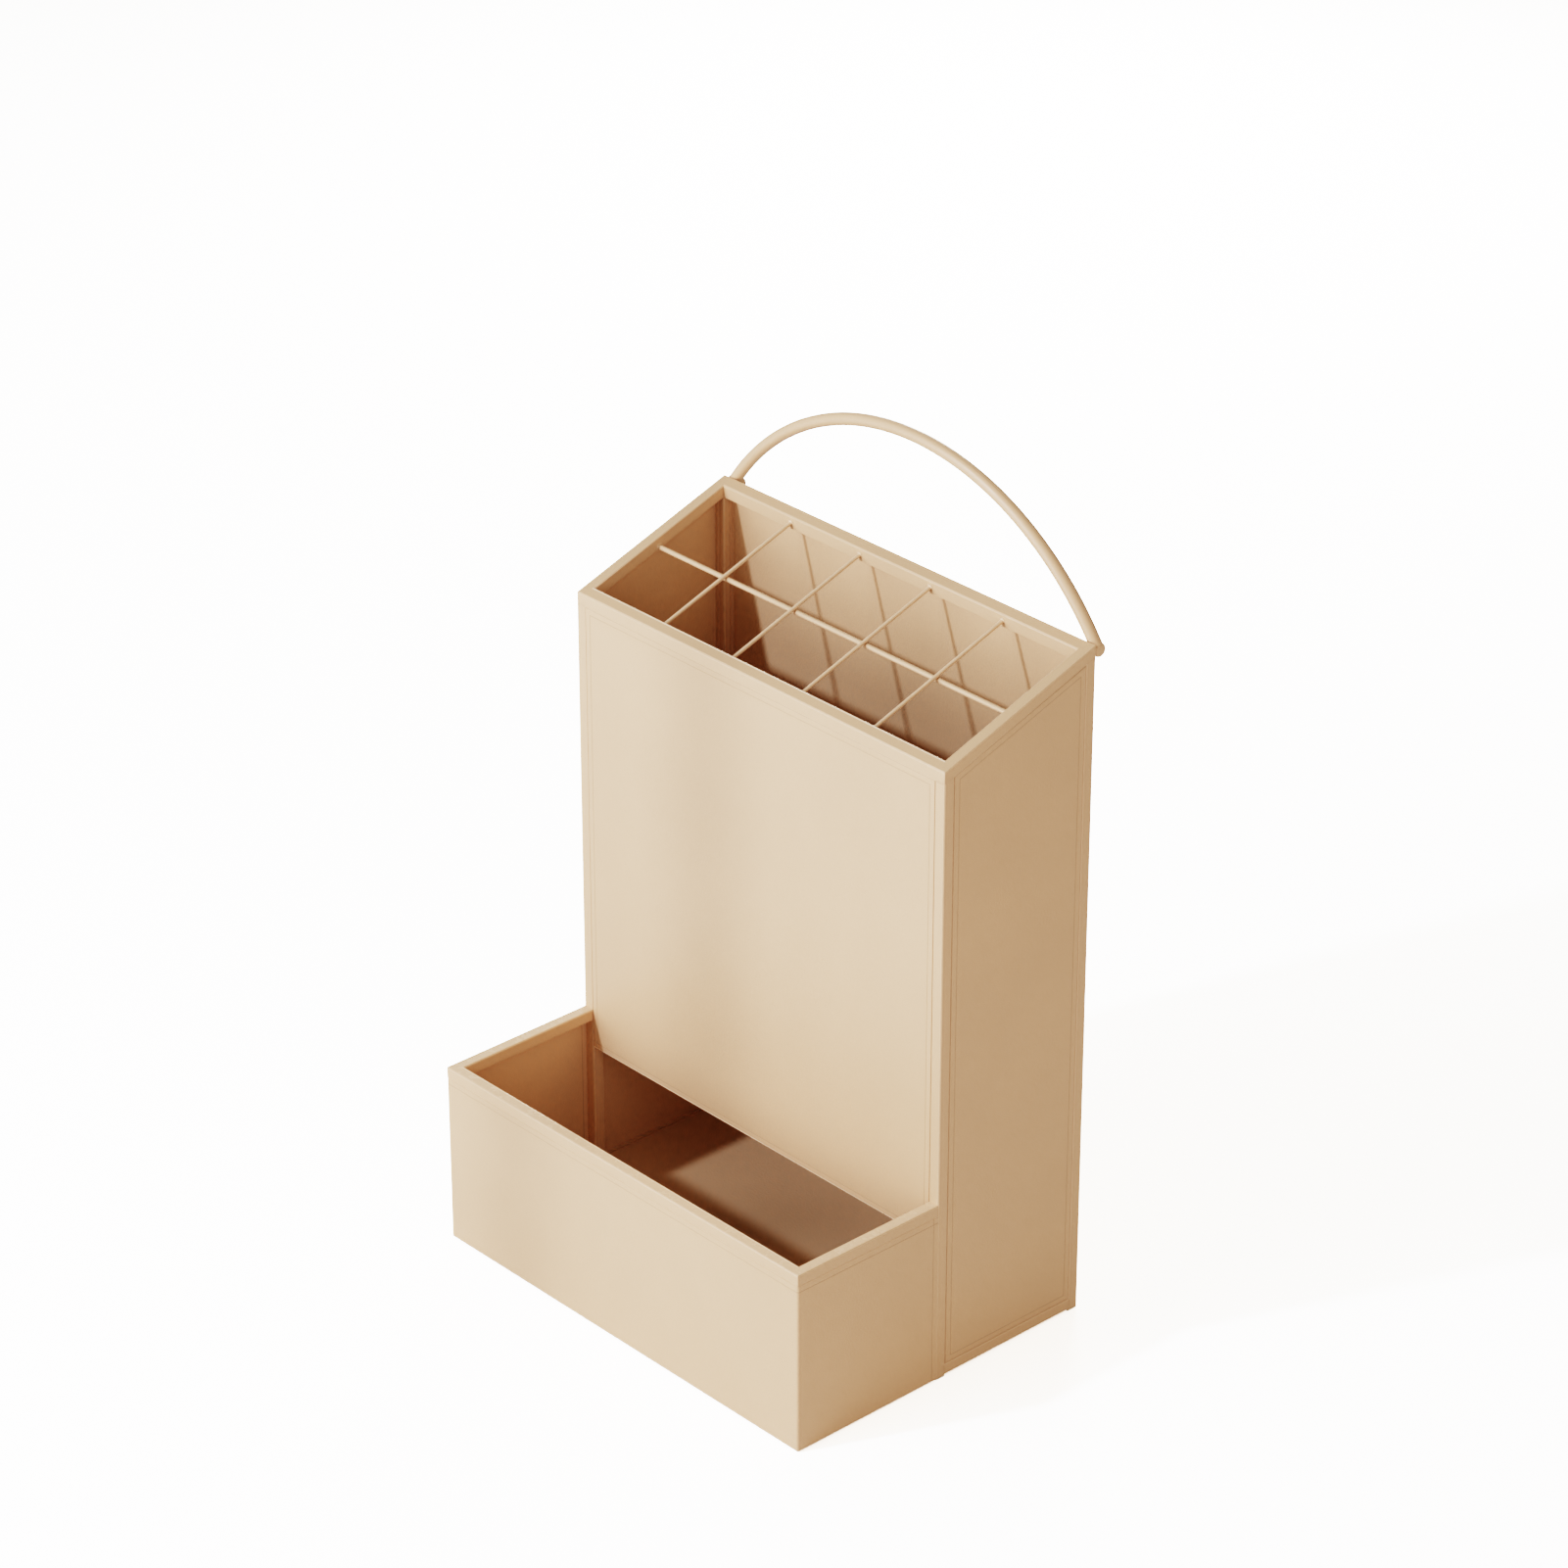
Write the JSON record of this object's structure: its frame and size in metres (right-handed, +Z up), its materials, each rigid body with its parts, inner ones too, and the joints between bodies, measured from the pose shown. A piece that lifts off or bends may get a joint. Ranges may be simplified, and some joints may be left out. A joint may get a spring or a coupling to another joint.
{
  "type": "umbrella stand",
  "caption": "Free-standing powder-coated steel umbrella stand: tall open box under a sloping rod grid, low open tray in front, arched handle rod behind.",
  "frame": {"origin": "centre of the footprint's bounding box on the floor", "axes": "+Z up, the tray and the front panel face -Y, the arched handle is on the +Y side, +X is to the right as seen from the front"},
  "size_m": [0.4, 0.3012, 0.6675],
  "materials": {
    "painted_tube": "satin cream powder coat",
    "painted_sheet": "satin cream powder coat",
    "painted_rod": "satin cream powder coat",
    "foot_plastic": "matt moulded plastic"
  },
  "bodies": {
    "root": {"arch_end_ball_left": "painted_rod", "arch_end_ball_right": "painted_rod", "arch_rod": "painted_rod", "base_rail_left": "painted_tube", "base_rail_middle": "painted_tube", "base_rail_rear": "painted_tube", "base_rail_right": "painted_tube", "cross_rod_1": "painted_rod", "cross_rod_2": "painted_rod", "cross_rod_3": "painted_rod", "cross_rod_4": "painted_rod", "floor_sheet": "painted_sheet", "foot_front_left": "foot_plastic", "foot_front_right": "foot_plastic", "foot_rear_left": "foot_plastic", "foot_rear_right": "foot_plastic", "foot_tray_left": "foot_plastic", "foot_tray_right": "foot_plastic", "front_panel": "painted_sheet", "front_post_left": "painted_tube", "front_post_right": "painted_tube", "left_panel": "painted_sheet", "long_rod": "painted_rod", "rear_panel": "painted_sheet", "rear_post_left": "painted_tube", "rear_post_right": "painted_tube", "right_panel": "painted_sheet", "rim_rail_front": "painted_tube", "rim_rail_left": "painted_tube", "rim_rail_rear": "painted_tube", "rim_rail_right": "painted_tube", "tray_apron": "painted_sheet", "tray_base_rail_front": "painted_tube", "tray_base_rail_left": "painted_tube", "tray_base_rail_right": "painted_tube", "tray_post_left": "painted_tube", "tray_post_right": "painted_tube", "tray_rim_front": "painted_tube", "tray_rim_left": "painted_tube", "tray_rim_right": "painted_tube"}
  },
  "joints": []
}
